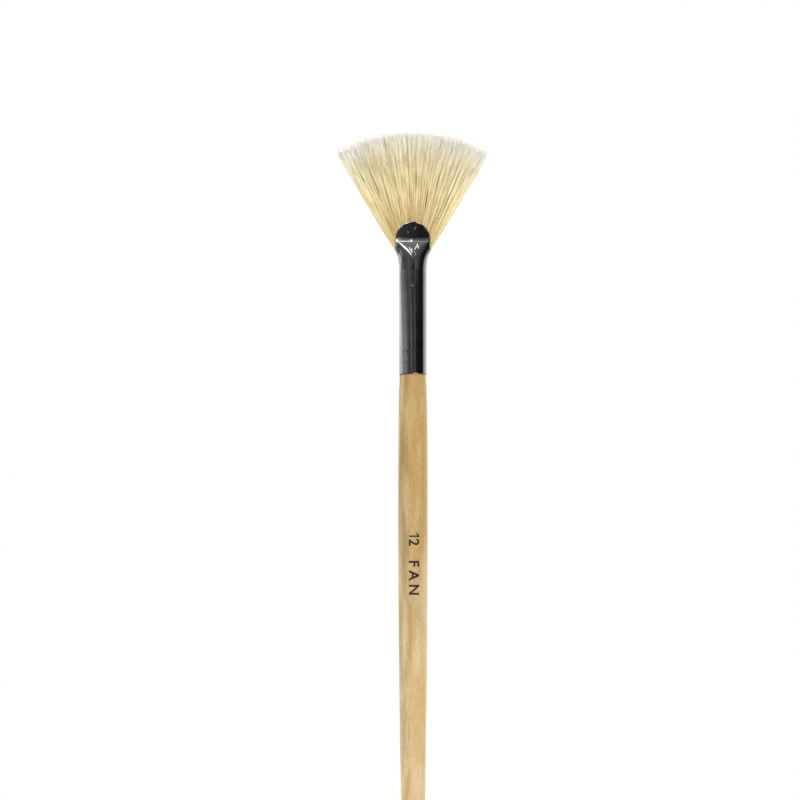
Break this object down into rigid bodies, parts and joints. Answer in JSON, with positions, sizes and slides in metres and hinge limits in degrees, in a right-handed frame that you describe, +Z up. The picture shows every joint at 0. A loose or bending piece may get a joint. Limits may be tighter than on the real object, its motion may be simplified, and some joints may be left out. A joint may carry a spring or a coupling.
{
  "type": "artist's fan brush",
  "caption": "Artist's fan brush: long turned wooden handle, black metal ferrule pressed flat at its mouth, and a splayed fan of hog bristle for blending paint.",
  "frame": {"origin": "centre of the bounding box's bottom, at the butt of the handle", "axes": "+Z up the handle towards the bristle tips, X across the fan, and the front of the flat fan faces -Y"},
  "size_m": [0.049, 0.0096, 0.305],
  "materials": {
    "lacquered_wood": "clear satin lacquer over pale straight-grained wood",
    "black_plated_metal": "glossy black plating",
    "cement": "dried glue",
    "resin": "hard amber resin",
    "bristle": "natural hog bristle, cream with paler tips"
  },
  "bodies": {
    "brush": {"handle": "lacquered_wood", "ferrule": "black_plated_metal", "handle_cement": "cement", "setting_resin": "resin", "bristle_roots": "bristle"},
    "tuft": {"bristle_lock_1": "bristle", "bristle_lock_2": "bristle", "bristle_lock_3": "bristle", "bristle_lock_4": "bristle", "bristle_lock_5": "bristle", "bristle_lock_6": "bristle", "bristle_lock_7": "bristle", "bristle_lock_8": "bristle", "bristle_lock_9": "bristle"}
  },
  "joints": [
    {"name": "bristle_flex", "type": "hinge", "parent": "brush", "child": "tuft", "pos_m": [0, 0, 0.2776], "axis": [1, 0, 0], "range_deg": [-30, 30], "stiffness_Nm_per_rad": 0.02}
  ]
}
